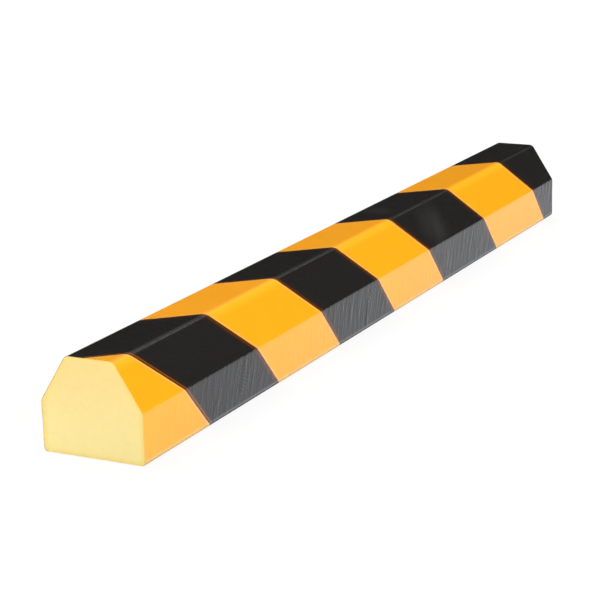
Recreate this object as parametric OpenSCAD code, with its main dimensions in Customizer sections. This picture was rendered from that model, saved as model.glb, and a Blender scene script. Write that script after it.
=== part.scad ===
// Foam surface protector
// A straight length of six-sided impact profile: a soft foam body under a yellow film, with black
// warning bands that run slantwise over its sides, shoulders and top. The base is flat and bare,
// for sticking to a wall, a beam or a shelf, and both ends are plain square cuts.
// Seen from the cut end at -Y, the section stands upright on its base, and +Y runs along the body.

/* [Profile] */
// Width of the flat base
base_w = 60; // [44:1:100]
// Height from the base to the flat top
profile_h = 52.5; // [40:0.5:80]
// Height of the upright sides
side_h = 27.5; // [12:0.5:36]
// Width of the flat top
top_w = 28; // [12:1:40]
// Length of the piece
body_l = 580; // [150:10:1000]

/* [Edges] */
// Radius of the two edges of the top
top_r = 4; // [2:0.5:7]
// Radius of the edges between the sides and the shoulders
side_r = 3.5; // [2:0.5:9]
// Radius of the two edges of the base
base_r = 2.2; // [1.1:0.1:4]

/* [Film] */
// Thickness of the film over the foam
film_t = 0.4; // [0.3:0.1:1]
// Depth to which the black print fills the film
print_t = 0.15; // [0.1:0.05:0.25]

/* [Warning bands] */
// Length of each band of colour, measured along the body
band_l = 77.5; // [40:0.5:120]
// Number of bands of that length, counted from the first black one
near_bands = 4; // [1:1:6]
// Length of each band beyond them
far_band_l = 94; // [40:0.5:120]
// Length of the yellow that the front end starts with, at the right edge of the base
first_band_l = 66.5; // [0:0.5:120]
// Slant of the bands, in millimetres along the body for each millimetre round the section
band_slant = 0.89; // [0.3:0.01:1.5]

/* [Hidden] */
$fn = 96;

foam_color = [0.98, 0.91, 0.62];
yellow_color = [0.98, 0.69, 0.12];
black_color = [0.17, 0.16, 0.15];

// The section's six corners, from the right end of the base up and over to the left end, each with
// the radius of its edge and the directions that the two walls beside it face
shoulder_face = 90 - atan2(profile_h - side_h, (base_w - top_w) / 2);
corners = [
    [base_w / 2, 0],
    [base_w / 2, side_h],
    [top_w / 2, profile_h],
    [-top_w / 2, profile_h],
    [-base_w / 2, side_h],
    [-base_w / 2, 0]
];
edge_radii = [base_r, side_r, top_r, top_r, side_r, base_r];
wall_faces = [-90, 0, shoulder_face, 90, 180 - shoulder_face, 180, 270];
last_corner = len(corners) - 1;

// The film ends where the rounded edges of the base run out into its flat underside
bare_base_w = base_w - 2 * base_r;

// The wedge that marks out a band reaches this far outside the body
band_clearance = 1;
// Straight steps in which a band's border turns round each edge
edge_steps = 3;

function toward(angle) = [cos(angle), sin(angle)];

// Centre of the rounding at a corner
function edge_centre(i) =
    let (a = toward(wall_faces[i]), b = toward(wall_faces[i + 1]))
    corners[i] - edge_radii[i] * (a + b) / (1 + a * b);

// Point at which the rounding of a corner, at the depth inset, faces the given way
function edge_point(i, face, inset) = edge_centre(i) + (edge_radii[i] - inset) * toward(face);

// Way round the surface, from the right end of the film to the given place on a corner's rounding
function arc_run(i, face) = edge_radii[i] * (face - wall_faces[i]) * PI / 180;
function wall_run(i) =
    norm(edge_point(i + 1, wall_faces[i + 1], 0) - edge_point(i, wall_faces[i + 1], 0));
function run_to(i, face) =
    arc_run(i, face) + (i == 0 ? 0 : run_to(i - 1, wall_faces[i]) + wall_run(i - 1));

// Section of the body with all its faces moved inward by inset
module section(inset) {
    polygon([
        for (i = [0 : last_corner], side = [0, 1])
            edge_point(i, wall_faces[i + side], inset)
    ]);
    for (i = [0 : last_corner])
        translate(edge_centre(i)) circle(edge_radii[i] - inset);
}

// Section of what lies within the given depth of the surface, apart from the bare base
module surface_layer(depth) {
    difference() {
        section(0);
        section(depth);
        translate([-bare_base_w / 2, -depth]) square([bare_base_w, 2 * depth]);
    }
}

// A section drawn in X and Z, run along the body from end to end
module along_body() {
    rotate([90, 0, 0]) linear_extrude(body_l, center = true) children();
}

// Every step of the way round the film: [corner, direction faced]
film_steps = [
    for (i = [0 : last_corner], j = [0 : edge_steps])
        [i, wall_faces[i] + (wall_faces[i + 1] - wall_faces[i]) * j / edge_steps]
];

// Place along the body where border k meets the right end of the film. Border 0 is the front of the
// first black band.
function border(k) =
    -body_l / 2 + first_band_l + min(k, near_bands) * band_l + max(k - near_bands, 0) * far_band_l;

// The four points of a band's wedge at one step: deep and proud at its front border k, then proud
// and deep at its back border. The borders shift toward the front as the run round the section grows.
function wedge_ring(step, k) =
    let (
        deep = edge_point(step[0], step[1], film_t),
        proud = edge_point(step[0], step[1], -band_clearance),
        shift = band_slant * run_to(step[0], step[1]),
        front = border(k) - shift,
        back = border(k + 1) - shift
    )
    [
        [deep.x, front, deep.y],
        [proud.x, front, proud.y],
        [proud.x, back, proud.y],
        [deep.x, back, deep.y]
    ];

// Solid that follows the band behind border k over the body, from the film's right end to its left
// end
module band_wedge(k) {
    ring = 4;
    rings = len(film_steps);
    first_cap = [for (j = [0 : ring - 1]) j];
    last_cap = [for (j = [ring - 1 : -1 : 0]) (rings - 1) * ring + j];
    walls = [
        for (i = [0 : rings - 2], j = [0 : ring - 1])
            let (a = i * ring + j, b = i * ring + (j + 1) % ring)
            each [[a, a + ring, b], [b, a + ring, b + ring]]
    ];
    polyhedron(
        points = [for (step = film_steps) each wedge_ring(step, k)],
        faces = concat([first_cap, last_cap], walls)
    );
}

// Every second border is the front of a black band. The first and last of those borders are the
// ones whose bands can still reach the body somewhere on their way round the film.
film_run = run_to(last_corner, wall_faces[last_corner + 1]);
first_front = -2 * floor((first_band_l + band_l) / (2 * band_l));
far_reach = body_l / 2 + band_slant * film_run - border(near_bands);
last_front = near_bands + max(0, ceil(far_reach / far_band_l) - 1);

module printed_bands() {
    intersection() {
        along_body() surface_layer(print_t);
        for (k = [first_front : 2 : last_front])
            band_wedge(k);
    }
}

module foam_core() {
    color(foam_color)
        along_body()
            difference() {
                section(0);
                surface_layer(film_t);
            }
}

module yellow_film() {
    color(yellow_color)
        difference() {
            along_body() surface_layer(film_t);
            printed_bands();
        }
}

module black_bands() {
    color(black_color) printed_bands();
}

foam_core();
yellow_film();
black_bands();
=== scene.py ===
# Foam surface protector: a straight length of six-sided foam under a yellow film with slanted black
# bands. It lies on a plain pale floor, seen from the front right, with its cut end toward the camera.
# Everything is in metres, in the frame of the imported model: +Y runs along the body, away from the
# cut end, and the section stands upright in X and Z on the floor.
import math

import bpy
import numpy as np
from mathutils import Matrix, Vector


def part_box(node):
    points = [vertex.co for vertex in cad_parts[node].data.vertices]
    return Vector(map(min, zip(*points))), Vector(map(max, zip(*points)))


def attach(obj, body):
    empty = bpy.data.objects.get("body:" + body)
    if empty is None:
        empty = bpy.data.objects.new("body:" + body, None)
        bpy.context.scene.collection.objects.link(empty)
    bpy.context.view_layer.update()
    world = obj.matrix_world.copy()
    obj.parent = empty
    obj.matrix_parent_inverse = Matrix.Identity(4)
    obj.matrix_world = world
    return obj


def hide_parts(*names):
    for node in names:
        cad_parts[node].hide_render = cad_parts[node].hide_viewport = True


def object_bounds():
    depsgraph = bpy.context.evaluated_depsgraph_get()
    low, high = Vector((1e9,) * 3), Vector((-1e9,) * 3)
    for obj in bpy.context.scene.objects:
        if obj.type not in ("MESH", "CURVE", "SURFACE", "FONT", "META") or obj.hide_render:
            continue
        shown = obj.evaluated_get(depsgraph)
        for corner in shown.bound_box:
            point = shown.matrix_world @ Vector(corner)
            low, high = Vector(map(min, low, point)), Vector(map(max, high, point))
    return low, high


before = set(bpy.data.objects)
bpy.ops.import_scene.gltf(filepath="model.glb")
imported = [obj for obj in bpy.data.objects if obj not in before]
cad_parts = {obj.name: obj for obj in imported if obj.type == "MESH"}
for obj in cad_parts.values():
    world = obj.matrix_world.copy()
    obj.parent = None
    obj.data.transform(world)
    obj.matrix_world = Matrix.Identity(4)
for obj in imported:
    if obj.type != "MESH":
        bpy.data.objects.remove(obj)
cad_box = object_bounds()

MM = 0.001

# Section of the body. Its width, height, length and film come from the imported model, and the rest of
# it and of the bands is as in the part's source.
BASE_W = cad_box[1].x - cad_box[0].x
PROFILE_H = cad_box[1].z - cad_box[0].z
BODY_L = cad_box[1].y - cad_box[0].y
FILM_T = cad_box[1].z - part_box("foam_core")[1].z
SIDE_H = 27.5 * MM
TOP_W = 28 * MM
TOP_R = 4 * MM
SIDE_R = 3.5 * MM
BASE_R = 2.2 * MM

# Bands of colour, black ones printed into the film's outer face. From the first black one on,
# NEAR_BANDS bands have one length, and those beyond them are longer.
PRINT_T = 0.15 * MM
FIRST_BAND_L = 66.5 * MM
BAND_L = 77.5 * MM
NEAR_BANDS = 4
FAR_BAND_L = 94 * MM
BAND_SLANT = 0.89

# Levels at which the film and the bands have vertices, as depths below the outer face
OUTER = 0
PRINTED = 1
INNER = 2
LEVEL_DEPTH = np.array([0, PRINT_T, FILM_T])

# Steps of the meshes: how many there are along each field of colour, their lengths round the section
# (on the walls, on the rounded edges, and the least one), and the share of a step along the body
# that lies free beside a border or an end
FINE_STEPS = 150
COARSE_STEPS = 8
WALL_STEP = 1.8 * MM
ARC_STEP = 0.35 * MM
LEAST_STEP = 0.15 * MM
FREE_SHARE = 0.25

# Places closer than this are one
WELD = 1e-7

# Creases of the film: waves that run round the body, each of a length and a lean between two limits.
# A lean is how far a wave shifts along the body, toward +Y, for each metre round it from the right
# rim. All waves together have the root mean square slope, and no more than the height, given here.
CREASE_SEED = 11
CREASE_WAVES = 64
CREASE_LENGTH = (2.8 * MM, 8 * MM)
CREASE_LEAN = (-0.1, 0.5)
CREASE_SLOPE = 0.04
CREASE_LIMIT = 0.1 * MM
# How strongly the film is creased on each wall in turn, from the right side over to the left side
WALL_CREASING = (1.0, 0.15, 0.12, 0.15, 1.0)

# Bolder wrinkles of the sides, in millimetres: the height of each one's ridge and the places that it
# passes through, as (run round the film, place along the body), then the width of a ridge and the
# length in which it fades at its ends. The left side mirrors the right.
WRINKLES = (
    (0.36, ((8, -192), (13, -189.5), (20, -188), (29, -184))),
    (0.20, ((10, -188), (14, -185), (21, -181))),
    (0.14, ((14, -221), (27, -217))),
    (0.12, ((3, -220), (16, -217))),
    (0.34, ((2, -35.5), (14, -32.7), (19, -31), (27, -25))),
    (0.18, ((12, -57), (26, -55))),
    (0.14, ((8, -8), (26, -3))),
    (0.18, ((8, 112), (27, 118))),
    (0.12, ((5, 137), (20, 140))),
    (0.10, ((6, 238), (24, 244))),
)
WRINKLE_W = 0.8
WRINKLE_FADE = 3


def toward(face):
    """Unit vector in the section that points the given way, in radians from +X."""
    return np.array([math.cos(face), math.sin(face)])


# The section's corners, from the right end of the base up and over to the left end, with the radius
# of each edge and the directions that the walls beside it face
SHOULDER_FACE = math.pi / 2 - math.atan2(PROFILE_H - SIDE_H, (BASE_W - TOP_W) / 2)
CORNERS = [
    (BASE_W / 2, 0, BASE_R),
    (BASE_W / 2, SIDE_H, SIDE_R),
    (TOP_W / 2, PROFILE_H, TOP_R),
    (-TOP_W / 2, PROFILE_H, TOP_R),
    (-BASE_W / 2, SIDE_H, SIDE_R),
    (-BASE_W / 2, 0, BASE_R),
]
FACES = [
    -math.pi / 2,
    0,
    SHOULDER_FACE,
    math.pi / 2,
    math.pi - SHOULDER_FACE,
    math.pi,
    1.5 * math.pi,
]


def edge_centre(i):
    """Centre of the rounding at a corner."""
    x, z, radius = CORNERS[i]
    a, b = toward(FACES[i]), toward(FACES[i + 1])
    return np.array([x, z]) - radius * (a + b) / (1 + a @ b)


def section_parts():
    """The stretches of the film's outer face, in turn: (run at its start, run at its end, first
    point, centre or None for a flat wall, radius, first face)."""
    parts, run = [], 0.0
    for i, (_, _, radius) in enumerate(CORNERS):
        centre = edge_centre(i)
        length = radius * (FACES[i + 1] - FACES[i])
        first = centre + radius * toward(FACES[i])
        parts.append((run, run + length, first, centre, radius, FACES[i]))
        run += length
        if i + 1 < len(CORNERS):
            first = centre + radius * toward(FACES[i + 1])
            last = edge_centre(i + 1) + CORNERS[i + 1][2] * toward(FACES[i + 1])
            length = float(np.linalg.norm(last - first))
            parts.append((run, run + length, first, None, 0, FACES[i + 1]))
            run += length
    return parts


PARTS = section_parts()
FILM_RUN = PARTS[-1][1]


def around(run):
    """Points (x, z) and outward unit vectors on the film's outer face, at each distance run round
    it from its right rim."""
    run = np.asarray(run, float)
    place, out = np.zeros((len(run), 2)), np.zeros((len(run), 2))
    for start, end, first, centre, radius, face in PARTS:
        here = (run >= start - WELD) & (run <= end + WELD)
        went = run[here] - start
        if centre is None:
            out[here] = toward(face)
            place[here] = first + went[:, None] * toward(face + math.pi / 2)
        else:
            turned = face + went / radius
            out[here] = np.stack([np.cos(turned), np.sin(turned)], 1)
            place[here] = centre + radius * out[here]
    return place, out


def border(k):
    """Where border k meets the right rim of the film. Border 0 is the front of the first black
    band, and each border shifts toward the front by BAND_SLANT for each metre round the section."""
    near, far = min(k, NEAR_BANDS), max(k - NEAR_BANDS, 0)
    return -BODY_L / 2 + FIRST_BAND_L + near * BAND_L + far * FAR_BAND_L


# Field k lies between borders k - 1 and k, and the odd ones are black
FAR_REACH = BODY_L / 2 + BAND_SLANT * FILM_RUN - border(NEAR_BANDS)
LAST_FIELD = NEAR_BANDS + math.ceil(FAR_REACH / FAR_BAND_L)
YELLOW_FIELDS = range(0, LAST_FIELD + 1, 2)
BLACK_FIELDS = range(1, LAST_FIELD + 1, 2)


def section_stations():
    """Distances round the film at which the meshes have rows. A row lies wherever a border runs out
    over an end of the body."""
    marks = []
    for start, end, _, centre, _, _ in PARTS:
        step = WALL_STEP if centre is None else ARC_STEP
        marks += list(np.linspace(start, end, max(1, round((end - start) / step)) + 1))
    cuts = [
        (border(k) - y) / BAND_SLANT
        for k in range(LAST_FIELD + 1)
        for y in (-BODY_L / 2, BODY_L / 2)
    ]
    cuts = [c for c in cuts if LEAST_STEP < c < FILM_RUN - LEAST_STEP]
    rows = [0.0, *cuts, FILM_RUN]
    for mark in marks:
        if min(abs(mark - row) for row in rows) > LEAST_STEP:
            rows.append(mark)
    return np.array(sorted(rows))


STATIONS = section_stations()
END_ROWS = (0, len(STATIONS) - 1)


def row_places(field, row, steps):
    """The places along Y of one field's vertices in a row, from front to back, or none where the
    field doesn't reach."""
    shift = BAND_SLANT * STATIONS[row]
    low = max(border(field - 1) - shift, -BODY_L / 2)
    high = min(border(field) - shift, BODY_L / 2)
    if high < low - WELD:
        return []
    if high < low + WELD:
        return [low]
    step = (border(field) - border(field - 1)) / steps
    inside = border(field - 1) - shift + step * np.arange(1, steps)
    free = FREE_SHARE * step
    return [low, *inside[(inside > low + free) & (inside < high - free)], high]


def spanned(field, fine):
    """Triangles over one field of the film, each as three (row, place along Y in steps of WELD)."""
    def keys(row):
        steps = FINE_STEPS if fine or row in END_ROWS else COARSE_STEPS
        return [(row, round(y / WELD)) for y in row_places(field, row, steps)]

    found = []
    lower = keys(0)
    for row in range(1, len(STATIONS)):
        upper = keys(row)
        a = b = 0
        shift = BAND_SLANT * (STATIONS[row] - STATIONS[row - 1]) / WELD
        while lower and upper and (a + 1 < len(lower) or b + 1 < len(upper)):
            along_lower = b + 1 == len(upper) or (
                a + 1 < len(lower) and lower[a + 1][1] <= upper[b + 1][1] + shift
            )
            if along_lower:
                found.append((lower[a], lower[a + 1], upper[b]))
                a += 1
            else:
                found.append((lower[a], upper[b + 1], upper[b]))
                b += 1
        lower = upper
    return found


def rim_of(triangles):
    """Edges that only one triangle has, each in that triangle's direction."""
    edges = {e for t in triangles for e in ((t[0], t[1]), (t[1], t[2]), (t[2], t[0]))}
    return [e for e in sorted(edges) if (e[1], e[0]) not in edges]


def film_faces():
    """Faces of the film: yellow fields at its outer face, the floors of the printed fields, the
    steps between them, its inner face, and its rims. Each vertex is (row, place, level)."""
    yellow = [t for k in YELLOW_FIELDS for t in spanned(k, fine=True)]
    printed = [t for k in BLACK_FIELDS for t in spanned(k, fine=False)]
    inner = printed + [t for k in YELLOW_FIELDS for t in spanned(k, fine=False)]
    printed_rim = set(rim_of(printed))
    at_border = {p for e in printed_rim for p in e}
    faces = [[(*p, OUTER) for p in t] for t in yellow]
    faces += [[(*p, PRINTED) for p in t] for t in printed]
    faces += [[(*p, INNER) for p in reversed(t)] for t in inner]
    for a, b in rim_of(yellow):
        if (b, a) in printed_rim:
            faces.append([(*b, OUTER), (*a, OUTER), (*a, PRINTED), (*b, PRINTED)])
            printed_rim.remove((b, a))
            continue
        face = [(*b, OUTER), (*a, OUTER)]
        face += [(*a, PRINTED)] * (a in at_border)
        face += [(*a, INNER), (*b, INNER)]
        face += [(*b, PRINTED)] * (b in at_border)
        faces.append(face)
    for a, b in sorted(printed_rim):
        faces.append([(*b, PRINTED), (*a, PRINTED), (*a, INNER), (*b, INNER)])
    return faces


def band_faces():
    """Faces of the black bands, each one a closed thin layer."""
    faces = []
    for k in BLACK_FIELDS:
        outer = spanned(k, fine=True)
        faces += [[(*p, OUTER) for p in t] for t in outer]
        faces += [[(*p, PRINTED) for p in reversed(t)] for t in spanned(k, fine=False)]
        for a, b in rim_of(outer):
            faces.append([(*b, OUTER), (*a, OUTER), (*a, PRINTED), (*b, PRINTED)])
    return faces


def creasing(run):
    """How strongly the film is creased, from 0 at the two rims along the base to 1."""
    walls = [(start, end) for start, end, _, centre, _, _ in PARTS if centre is None]
    marks = [0.0, *(mark for wall in walls for mark in wall), FILM_RUN]
    levels = [0.0, *(level for level in WALL_CREASING for _ in range(2)), 0.0]
    return np.interp(run, marks, levels)


def wrinkles(run, y):
    """Height of the bolder wrinkles."""
    run = np.minimum(run, FILM_RUN - run)
    height = np.zeros(len(run))
    for ridge, places in WRINKLES:
        runs, ys = np.array(places).T * MM
        off = (y - np.interp(run, runs, ys)) / (WRINKLE_W * MM)
        inside = np.minimum(run - runs[0], runs[-1] - run) / (WRINKLE_FADE * MM)
        height += ridge * MM * np.exp(-(off**2) / 2) * np.clip(inside, 0, 1)
    return height


def creases(run, y):
    """Height of the film's creases."""
    rng = np.random.default_rng(CREASE_SEED)
    shortest, longest = np.log(CREASE_LENGTH)
    slope = CREASE_SLOPE * math.sqrt(2 / CREASE_WAVES)
    height = np.zeros(len(run))
    for _ in range(CREASE_WAVES):
        turn = 2 * math.pi / math.exp(rng.uniform(shortest, longest))
        lean = rng.uniform(*CREASE_LEAN)
        phase = rng.uniform(0, 2 * math.pi)
        height += slope / turn * np.cos(turn * (y - lean * run) + phase)
    height = np.clip(height * creasing(run), -CREASE_LIMIT, CREASE_LIMIT)
    return height + wrinkles(run, y)


def beside_borders(run, y):
    """How far a place lies behind border 0, and how far it lies from the nearest border, both
    measured square to the borders."""
    along = y + BAND_SLANT * run
    borders = np.array([border(k) for k in range(LAST_FIELD + 1)])
    nearest = np.abs(along[:, None] - borders).min(axis=1)
    return (along - border(0)) / math.hypot(1, BAND_SLANT), nearest / math.hypot(1, BAND_SLANT)


def wrapped_mesh(name, faces):
    """A mesh from faces given in rows, places and levels. Its attribute wrap holds each vertex's run
    round the film, its place along the body and its distance behind border 0. The attributes gap
    and creasing hold its distance from the nearest border and how strongly the film is creased
    there, and cut is 1 on the faces of the two cut ends."""
    keys = sorted({v for f in faces for v in f})
    index = {v: i for i, v in enumerate(keys)}
    row, step, level = np.array(keys).T
    run, y = STATIONS[row], step * WELD
    place, out = around(run)
    rise = np.where(level == OUTER, creases(run, y), 0) - LEVEL_DEPTH[level]
    place = place + out * rise[:, None]
    mesh = bpy.data.meshes.new(name)
    points = np.stack([place[:, 0], y, place[:, 1]], 1)
    mesh.from_pydata(points, [], [[index[v] for v in f] for f in faces])
    behind, gap = beside_borders(run, y)
    wrap = mesh.attributes.new("wrap", "FLOAT_VECTOR", "POINT")
    wrap.data.foreach_set("vector", np.stack([run, y, behind], 1).astype(np.float32).ravel())
    for attribute_name, values in (("gap", gap), ("creasing", creasing(run))):
        made = mesh.attributes.new(attribute_name, "FLOAT", "POINT")
        made.data.foreach_set("value", values)
    end = round(BODY_L / 2 / WELD)
    cut = [float({abs(v[1]) for v in f} == {end}) for f in faces]
    mesh.attributes.new("cut", "FLOAT", "FACE").data.foreach_set("value", cut)
    return mesh


def piece(mesh, replaced, material, sharp_deg=40):
    """An object of the part that stands for a node and rides on the one body."""
    mesh.shade_smooth()
    mesh.set_sharp_from_angle(angle=math.radians(sharp_deg))
    obj = bpy.data.objects.new(mesh.name, mesh)
    bpy.context.scene.collection.objects.link(obj)
    mesh.materials.append(material)
    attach(obj, "root")
    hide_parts(replaced)
    return obj


# Cut face of the foam: rings from its rim inward, as (share of the way to the middle, how far the
# face lies behind the film's cut edge)
FACE_MIDDLE = np.array([0, 24 * MM])
FACE_RINGS = [
    (0.0, 0.1 * MM),
    (0.006, 0.07 * MM),
    (0.015, 0.06 * MM),
    (0.04, 0.05 * MM),
    (0.1, 0.04 * MM),
    (0.2, 0.03 * MM),
    (0.4, 0.02 * MM),
    (0.7, 0.02 * MM),
]
BASE_STEPS = 16


def foam_mesh():
    """The foam body: the film's inner face, down to the bare base, between two cut faces. Its
    attribute edge_gap is 0 at the rim of a cut face and 1 in the middle."""
    place, out = around(STATIONS)
    under_film = place - FILM_T * out
    ring = np.array([(under_film[0, 0], 0), *under_film, (under_film[-1, 0], 0)])
    ring = np.concatenate([ring, np.linspace(ring[-1], ring[0], BASE_STEPS)[1:-1]])
    count = len(ring)
    back_half = [(share, BODY_L / 2 - behind) for share, behind in FACE_RINGS]
    front_half = [(share, -y) for share, y in reversed(back_half)]
    points, edge_gap = [], []
    for share, y in front_half + back_half:
        at = ring + share * (FACE_MIDDLE - ring)
        points.append(np.stack([at[:, 0], np.full(count, y), at[:, 1]], 1))
        edge_gap += [share] * count
    faces = []
    for first in range(0, (len(points) - 1) * count, count):
        for i in range(count):
            j = (i + 1) % count
            faces.append([first + j, first + i, first + count + i, first + count + j])
    front_middle = len(points) * count
    last = front_middle - count
    for i in range(count):
        j = (i + 1) % count
        faces.append([i, j, front_middle])
        faces.append([last + j, last + i, front_middle + 1])
    middles = [(FACE_MIDDLE[0], ends[0, 1], FACE_MIDDLE[1]) for ends in (points[0], points[-1])]
    mesh = bpy.data.meshes.new("foam")
    mesh.from_pydata(np.concatenate([*points, middles]), [], faces)
    gap = mesh.attributes.new("edge_gap", "FLOAT", "POINT")
    gap.data.foreach_set("value", np.array(edge_gap + [1, 1], np.float32))
    return mesh


def node(tree, kind, inputs=None, **settings):
    """A new node. A value in inputs that is a socket is linked, and any other is set."""
    made = tree.nodes.new(kind)
    for name, value in settings.items():
        setattr(made, name, value)
    for name, value in (inputs or {}).items():
        if isinstance(value, bpy.types.NodeSocket):
            tree.links.new(value, made.inputs[name])
        else:
            made.inputs[name].default_value = value
    return made


def maths(tree, operation, a, b=0.0, c=0.0):
    made = node(tree, "ShaderNodeMath", {0: a, 1: b, 2: c}, operation=operation)
    return made.outputs[0]


def noise(tree, vector, scale, detail=2.0, roughness=0.5):
    """A noise from 0 to 1 whose cells are about 1 / scale metres across."""
    inputs = {"Vector": vector, "Scale": scale, "Detail": detail, "Roughness": roughness}
    return node(tree, "ShaderNodeTexNoise", inputs).outputs["Fac"]


def fades(tree, value, start, end):
    """1 where value is up to start, falling smoothly to 0 at end."""
    inputs = {"Value": value, "From Min": start, "From Max": end, "To Min": 1.0, "To Max": 0.0}
    return node(tree, "ShaderNodeMapRange", inputs, interpolation_type="SMOOTHSTEP").outputs[0]


def line_at(tree, value, at, start, end):
    """1 where value is up to start away from at, falling smoothly to 0 at end away from it."""
    off = maths(tree, "ABSOLUTE", maths(tree, "SUBTRACT", value, at))
    return fades(tree, off, start, end)


def mixed(tree, factor, a, b):
    """Colour a where factor is 0, and b where it is 1."""
    return node(tree, "ShaderNodeMix", {0: factor, 6: a, 7: b}, data_type="RGBA").outputs[2]


def shaded(tree, colour, noise_value, spread):
    """The colour made up to spread lighter or darker by a noise."""
    shade = maths(tree, "MULTIPLY_ADD", noise_value, 2 * spread, 1 - spread)
    scaled = node(tree, "ShaderNodeVectorMath", {0: colour, 3: shade}, operation="SCALE")
    return scaled.outputs[0]


def attribute(tree, name, output="Fac"):
    return node(tree, "ShaderNodeAttribute", attribute_name=name).outputs[output]


def new_material(name):
    """A material with an empty node tree, and the tree."""
    material = bpy.data.materials.new(name)
    material.use_nodes = True
    material.node_tree.nodes.clear()
    return material, material.node_tree


def surface(tree, shader):
    node(tree, "ShaderNodeOutputMaterial", {"Surface": shader})


def wrap_place(tree):
    """Run round the film, place along the body and distance behind border 0, as sockets."""
    return node(tree, "ShaderNodeSeparateXYZ", {0: attribute(tree, "wrap", "Vector")}).outputs


def streaks(tree, lean, width, length, seed):
    """Noise drawn out round the section into leaning streaks of the given width and length."""
    run, y, _ = wrap_place(tree)
    across = maths(tree, "DIVIDE", maths(tree, "MULTIPLY_ADD", run, -lean, y), width)
    along = maths(tree, "DIVIDE", run, length)
    place = node(tree, "ShaderNodeCombineXYZ", {0: across, 1: along, 2: seed}).outputs[0]
    return noise(tree, place, 1.0, detail=1)


def unrolled_place(tree):
    """Place on the film when it is unrolled flat: run round it, and place along the body."""
    run, y, _ = wrap_place(tree)
    return node(tree, "ShaderNodeCombineXYZ", {0: run, 1: y}).outputs[0]


def patches(tree, size):
    """Noise over the unrolled film, whose cells are of the given size."""
    return noise(tree, unrolled_place(tree), 1 / size)


# Film: fine streaks in its surface, and long sharp creases where a broader noise of streaks is at its
# middle, within LONG_CREASE_W
STREAK_HEIGHT = 0.24 * MM
FINE_STREAKS = {"lean": 0.22, "width": 1.8 * MM, "length": 16 * MM, "seed": 1.0}
LONG_STREAKS = {"lean": 0.45, "width": 8 * MM, "length": 50 * MM, "seed": 7.0}
NOISE_MIDDLE = 0.5
LONG_CREASE_W = 0.07
LONG_CREASE_HEIGHT = 0.1 * MM


def film_normal(tree, strength):
    """The film's fine creasing, as a normal."""
    broad = streaks(tree, **LONG_STREAKS)
    long_crease = line_at(tree, broad, NOISE_MIDDLE, 0.0, LONG_CREASE_W)
    crease_height = maths(tree, "MULTIPLY", long_crease, LONG_CREASE_HEIGHT)
    fine = streaks(tree, **FINE_STREAKS)
    height = maths(tree, "MULTIPLY_ADD", fine, STREAK_HEIGHT, crease_height)
    strength = maths(tree, "MULTIPLY", attribute(tree, "creasing"), strength)
    inputs = {"Height": height, "Distance": 1.0, "Strength": strength}
    return node(tree, "ShaderNodeBump", inputs).outputs[0]


# Colours, as linear red, green, blue and opacity
YELLOW = (0.93, 0.372, 0.0095, 1)
# Painted highlight along the edges of the top
RIDGE_HIGHLIGHT_YELLOW = (0.93, 0.438, 0.019, 1)
PALE_LINE = (0.76, 0.385, 0.11, 1)
# Painted reflection and shade on the yellow just above the base
BASE_REFLECTION_AND_SHADE_YELLOW = (0.68, 0.46, 0.13, 1)
CUT_EDGE = (0.86, 0.60, 0.16, 1)
BLACK = (0.0160, 0.0148, 0.0137, 1)
BROWN_LINE = (0.11, 0.027, 0.0, 1)
SMUDGE = (0.044, 0.042, 0.041, 1)
# Painted highlight along the right edge of the top
RIDGE_HIGHLIGHT_BLACK = (0.06, 0.06, 0.06, 1)
# Painted reflection on the black just above the base
BASE_REFLECTION_BLACK = (0.09, 0.09, 0.09, 1)
HAIRLINE = (0.42, 0.17, 0.02, 1)
# Foam at the base and at the top: the cut face is painted a little darker toward the top, as shade
FOAM_LOW = (0.905, 0.768, 0.333, 1)
FOAM_SHADED_TOP = (0.905, 0.688, 0.273, 1)
FOAM_RIM = (0.905, 0.70, 0.23, 1)

# Gloss of the film, how far its streaks spread that, and how strongly each colour shows its creases
FILM_IOR = 1.55
FILM_ROUGHNESS = 0.2
ROUGHNESS_SPREAD = 0.05
YELLOW_CREASING = 0.35
BLACK_CREASING = 1.0

# Patches in which the film is a little lighter or darker
FILM_PATCH = 22 * MM
FILM_SPREAD = 0.03

# The painted reflection and shade in a line just above the base, the lines on both sides of each
# border, and a
# hairline behind the first border: (half width at full strength, half width in all)
PAINTED_BASE_LINE_AT = 3.3 * MM
PAINTED_BASE_LINE_W = (0.3 * MM, 1.4 * MM)
PALE_LINE_W = (0.4 * MM, 1.7 * MM)
BROWN_LINE_W = (0.7 * MM, 3.5 * MM)
HAIRLINE_AT = 1.5 * MM
HAIRLINE_W = (0.0, 0.22 * MM)

# The yellow has a painted highlight along the edges of the top, strongest on their shoulder side: it
# is lighter there, and fades out a little way over the top and further down the shoulder
RIDGE_RUN = PARTS[4][0] + 1.3 * MM
RIDGE_FADE = (1.2 * MM, 6 * MM)

# Faint smudges on the black print: (run round the film, place along the body, reach), and a painted
# highlight, a broken grey line along the right edge of the top, with its half widths as above and its
# patches' size
SMUDGES = (
    (40 * MM, 84 * MM, 24 * MM),
    (14 * MM, 92 * MM, 14 * MM),
    (73 * MM, 53 * MM, 14 * MM),
)
SMUDGE_STREAKS = {"lean": 0.4, "width": 14 * MM, "length": 20 * MM, "seed": 3.0}
RIDGE_HIGHLIGHT_W = (0.0, 0.7 * MM)
RIDGE_HIGHLIGHT_DOTS = 4 * MM


def run_from_base(tree):
    """Run round the film from whichever of its rims is nearer."""
    run, _, _ = wrap_place(tree)
    return maths(tree, "MINIMUM", run, maths(tree, "SUBTRACT", FILM_RUN, run))


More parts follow.
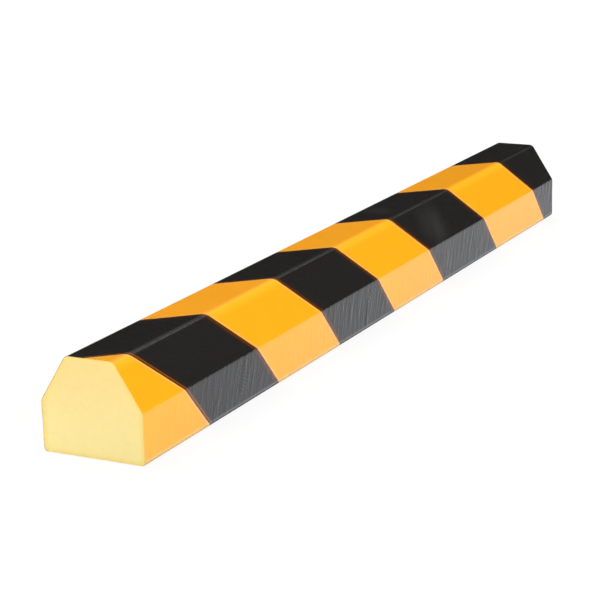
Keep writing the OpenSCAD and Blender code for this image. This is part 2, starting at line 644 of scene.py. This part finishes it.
def film_shader(tree, base, painted_base_line, creasing):
    """The film's shader. Its base colour has a painted reflection and shade in a line just above the
    base.
    """
    line = line_at(tree, run_from_base(tree), PAINTED_BASE_LINE_AT, *PAINTED_BASE_LINE_W)
    base = mixed(tree, line, base, painted_base_line)
    base = shaded(tree, base, patches(tree, FILM_PATCH), FILM_SPREAD)
    least, spread = FILM_ROUGHNESS - ROUGHNESS_SPREAD, 2 * ROUGHNESS_SPREAD
    roughness = maths(tree, "MULTIPLY_ADD", streaks(tree, **FINE_STREAKS), spread, least)
    inputs = {"Base Color": base, "Roughness": roughness, "Normal": film_normal(tree, creasing)}
    shader = node(tree, "ShaderNodeBsdfPrincipled", inputs)
    shader.inputs["IOR"].default_value = FILM_IOR
    surface(tree, shader.outputs[0])


def yellow_material():
    material, tree = new_material("yellow_film")
    # A painted highlight: lighter yellow along the edges of the top, fading over the top and down the
    # shoulder
    past_ridge = maths(tree, "SUBTRACT", run_from_base(tree), RIDGE_RUN)
    over_top = fades(tree, past_ridge, 0.0, RIDGE_FADE[0])
    down_shoulder = fades(tree, maths(tree, "MULTIPLY", past_ridge, -1.0), 0.0, RIDGE_FADE[1])
    base = mixed(tree, maths(tree, "MULTIPLY", over_top, down_shoulder), YELLOW, RIDGE_HIGHLIGHT_YELLOW)
    pale = fades(tree, attribute(tree, "gap"), *PALE_LINE_W)
    base = mixed(tree, pale, base, PALE_LINE)
    base = mixed(tree, attribute(tree, "cut"), base, CUT_EDGE)
    film_shader(tree, base, BASE_REFLECTION_AND_SHADE_YELLOW, YELLOW_CREASING)
    return material


def black_material():
    material, tree = new_material("black_print")
    run, _, behind = wrap_place(tree)
    place = unrolled_place(tree)
    base = BLACK
    streaked = streaks(tree, **SMUDGE_STREAKS)
    for *middle, reach in SMUDGES:
        off = node(tree, "ShaderNodeVectorMath", {0: place, 1: (*middle, 0)}, operation="DISTANCE")
        smudge = maths(tree, "MULTIPLY", fades(tree, off.outputs["Value"], 0.0, reach), streaked)
        base = mixed(tree, smudge, base, SMUDGE)
    # A painted highlight: a broken grey line along the right edge of the top
    line = line_at(tree, run, RIDGE_RUN, *RIDGE_HIGHLIGHT_W)
    base = mixed(tree, maths(tree, "MULTIPLY", line, patches(tree, RIDGE_HIGHLIGHT_DOTS)), base, RIDGE_HIGHLIGHT_BLACK)
    brown = fades(tree, attribute(tree, "gap"), *BROWN_LINE_W)
    base = mixed(tree, brown, base, BROWN_LINE)
    base = mixed(tree, line_at(tree, behind, HAIRLINE_AT, *HAIRLINE_W), base, HAIRLINE)
    film_shader(tree, base, BASE_REFLECTION_BLACK, BLACK_CREASING)
    return material


# Foam: the share of the way to the middle over which the rim of a cut face shows its own colour, the
# patches that are a little lighter or darker, the fine cells, and the gloss
RIM_SHARE = 0.12
FOAM_PATCH = 3 * MM
FOAM_SPREAD = 0.03
CELL_SIZE = 0.5 * MM
CELL_DEPTH = 0.06 * MM
FOAM_ROUGHNESS = 0.85
FOAM_IOR = 1.4


def foam_material():
    material, tree = new_material("foam")
    place = node(tree, "ShaderNodeTexCoord").outputs["Object"]
    up = node(tree, "ShaderNodeSeparateXYZ", {0: place}).outputs[2]
    # Painted shade: the cut face is darker toward the top
    base = mixed(tree, fades(tree, up, 0.0, PROFILE_H), FOAM_SHADED_TOP, FOAM_LOW)
    rim = fades(tree, attribute(tree, "edge_gap"), 0.0, RIM_SHARE)
    base = mixed(tree, rim, base, FOAM_RIM)
    base = shaded(tree, base, noise(tree, place, 1 / FOAM_PATCH, detail=4), FOAM_SPREAD)
    cells = noise(tree, place, 1 / CELL_SIZE, detail=1)
    normal = node(tree, "ShaderNodeBump", {"Height": cells, "Distance": CELL_DEPTH}).outputs[0]
    inputs = {
        "Base Color": base,
        "Roughness": FOAM_ROUGHNESS,
        "IOR": FOAM_IOR,
        "Normal": normal,
    }
    surface(tree, node(tree, "ShaderNodeBsdfPrincipled", inputs).outputs[0])
    return material


# The camera: its place, the way it looks in degrees, its roll and its lens
CAMERA_PLACE = (0.52221, -1.06188, 0.33758)
CAMERA_AZIMUTH = 27.480
CAMERA_ELEVATION = 15.696
CAMERA_ROLL = -1.622
LENS = 116.1
SENSOR_W = 36


def add_camera():
    data = bpy.data.cameras.new("camera")
    data.lens = LENS
    data.sensor_width = SENSOR_W
    camera = bpy.data.objects.new("camera", data)
    azimuth, elevation = math.radians(CAMERA_AZIMUTH), math.radians(CAMERA_ELEVATION)
    level = math.cos(elevation)
    forward = Vector(
        (-math.sin(azimuth) * level, math.cos(azimuth) * level, -math.sin(elevation))
    )
    look = forward.to_track_quat("-Z", "Y").to_matrix()
    turn = look @ Matrix.Rotation(math.radians(CAMERA_ROLL), 3, "Z")
    camera.matrix_world = Matrix.Translation(CAMERA_PLACE) @ turn.to_4x4()
    bpy.context.scene.collection.objects.link(camera)
    bpy.context.scene.camera = camera


# The floor is a disc that turns up into a wall far away. It looks nearly white whatever the light,
# also in the gloss of the film, and lights the body as the pale floor that it is. In that gloss it has
# a painted shadow under the body, and it is dark higher up the wall.
FLOOR_RINGS = (2, 8, 20)
WALL_BEND = 0.6
WALL_H = 3.3
BEND_STEPS = 8
FLOOR_SIDES = 96
FLOOR_DROP = 0.3 * MM
FLOOR_ALBEDO = 0.8
FLOOR_GLOW = 0.88
MIRRORED_FLOOR = (0.91, 0.93, 0.97, 1)
MIRRORED_SHADOW_HALF_W = (29.5 * MM, 31.5 * MM)
MIRRORED_H = (0.4, 1.4)


def floor_mesh():
    profile = [(r, 0) for r in FLOOR_RINGS]
    for i in range(1, BEND_STEPS + 1):
        turned = math.pi / 2 * i / BEND_STEPS
        r = FLOOR_RINGS[-1] + WALL_BEND * math.sin(turned)
        profile.append((r, WALL_BEND * (1 - math.cos(turned))))
    profile.append((FLOOR_RINGS[-1] + WALL_BEND, WALL_H))
    points = [(0, 0, -FLOOR_DROP)]
    for r, z in profile:
        for i in range(FLOOR_SIDES):
            a = 2 * math.pi * i / FLOOR_SIDES
            points.append((r * math.cos(a), r * math.sin(a), z - FLOOR_DROP))
    faces = []
    for i in range(FLOOR_SIDES):
        a, b = 1 + i, 1 + (i + 1) % FLOOR_SIDES
        faces.append((0, a, b))
        for out in range(0, (len(profile) - 1) * FLOOR_SIDES, FLOOR_SIDES):
            faces.append((a + out, a + out + FLOOR_SIDES, b + out + FLOOR_SIDES, b + out))
    mesh = bpy.data.meshes.new("floor")
    mesh.from_pydata(points, [], faces)
    return mesh


def floor_material():
    material, tree = new_material("floor")
    path = node(tree, "ShaderNodeLightPath").outputs
    mirrored = maths(tree, "MAXIMUM", path["Is Glossy Ray"], path["Is Transmission Ray"])
    lit, dim = [
        node(tree, "ShaderNodeBsdfDiffuse", {"Color": (level, level, level, 1)}).outputs[0]
        for level in (FLOOR_ALBEDO, 1 - FLOOR_GLOW)
    ]
    glow = node(tree, "ShaderNodeEmission", {"Strength": FLOOR_GLOW}).outputs[0]
    white = node(tree, "ShaderNodeAddShader", {0: dim, 1: glow}).outputs[0]
    place = node(tree, "ShaderNodeNewGeometry").outputs["Position"]
    across, _, up = node(tree, "ShaderNodeSeparateXYZ", {0: place}).outputs
    # Painted shadow: in the gloss of the film the floor is dark under the body
    dark = fades(tree, maths(tree, "ABSOLUTE", across), *MIRRORED_SHADOW_HALF_W)
    light = maths(tree, "SUBTRACT", 1.0, dark)
    light = maths(tree, "MULTIPLY", light, fades(tree, up, *MIRRORED_H))
    inputs = {"Color": MIRRORED_FLOOR, "Strength": light}
    mirror = node(tree, "ShaderNodeEmission", inputs).outputs[0]
    inputs = {0: path["Is Camera Ray"], 1: lit, 2: white}
    seen = node(tree, "ShaderNodeMixShader", inputs).outputs[0]
    surface(tree, node(tree, "ShaderNodeMixShader", {0: mirrored, 1: seen, 2: mirror}).outputs[0])
    return material


def add_floor():
    mesh = floor_mesh()
    mesh.materials.append(floor_material())
    floor = bpy.data.objects.new("floor", mesh)
    bpy.context.scene.collection.objects.link(floor)


# The light: a soft key from the right of the camera, a broad fill from the left behind the body,
# and a sky that brightens well above the floor. A lamp is (name, way to it, strength, its width in
# degrees), and a stop of the sky is (degrees above the horizon, level).
# The lamps don't show in the gloss of the film, which mirrors the floor and the sky alone.
LAMPS = (
    ("key", (0.78, -0.44, 0.30), 2.97, 26),
    ("fill", (-0.38, 0.28, 0.32), 2.35, 70),
)
SKY = ((0, 0), (26, 0), (31, 0.2), (37, 0.4), (48, 0.75), (60, 0.95), (90, 0.95))


def add_lamps():
    for name, way, strength, width_deg in LAMPS:
        data = bpy.data.lights.new(name, "SUN")
        data.energy = strength
        data.angle = math.radians(width_deg)
        lamp = bpy.data.objects.new(name, data)
        lamp.visible_glossy = False
        lamp.rotation_mode = "QUATERNION"
        lamp.rotation_quaternion = Vector(way).to_track_quat("Z", "Y")
        bpy.context.scene.collection.objects.link(lamp)


def add_sky():
    """A grey sky whose level follows the height above the horizon, in degrees."""
    world = bpy.data.worlds.new("sky")
    bpy.context.scene.world = world
    world.use_nodes = True
    tree = world.node_tree
    tree.nodes.clear()
    way = node(tree, "ShaderNodeTexCoord").outputs["Generated"]
    height = node(tree, "ShaderNodeSeparateXYZ", {0: way}).outputs[2]
    ramp = node(tree, "ShaderNodeValToRGB", {0: height})
    stops = ramp.color_ramp.elements
    while len(stops) < len(SKY):
        stops.new(0.5)
    for stop, (degrees, level) in zip(stops, SKY):
        stop.position = math.sin(math.radians(degrees))
        stop.color = (level, level, level, 1)
    background = node(tree, "ShaderNodeBackground", {"Color": ramp.outputs[0]}).outputs[0]
    node(tree, "ShaderNodeOutputWorld", {"Surface": background})


add_camera()
add_floor()
add_lamps()
add_sky()
foam = piece(foam_mesh(), "foam_core", foam_material())
piece(wrapped_mesh("film", film_faces()), "yellow_film", yellow_material())
piece(wrapped_mesh("bands", band_faces()), "black_bands", black_material())

bpy.context.scene.view_settings.view_transform = "Standard"
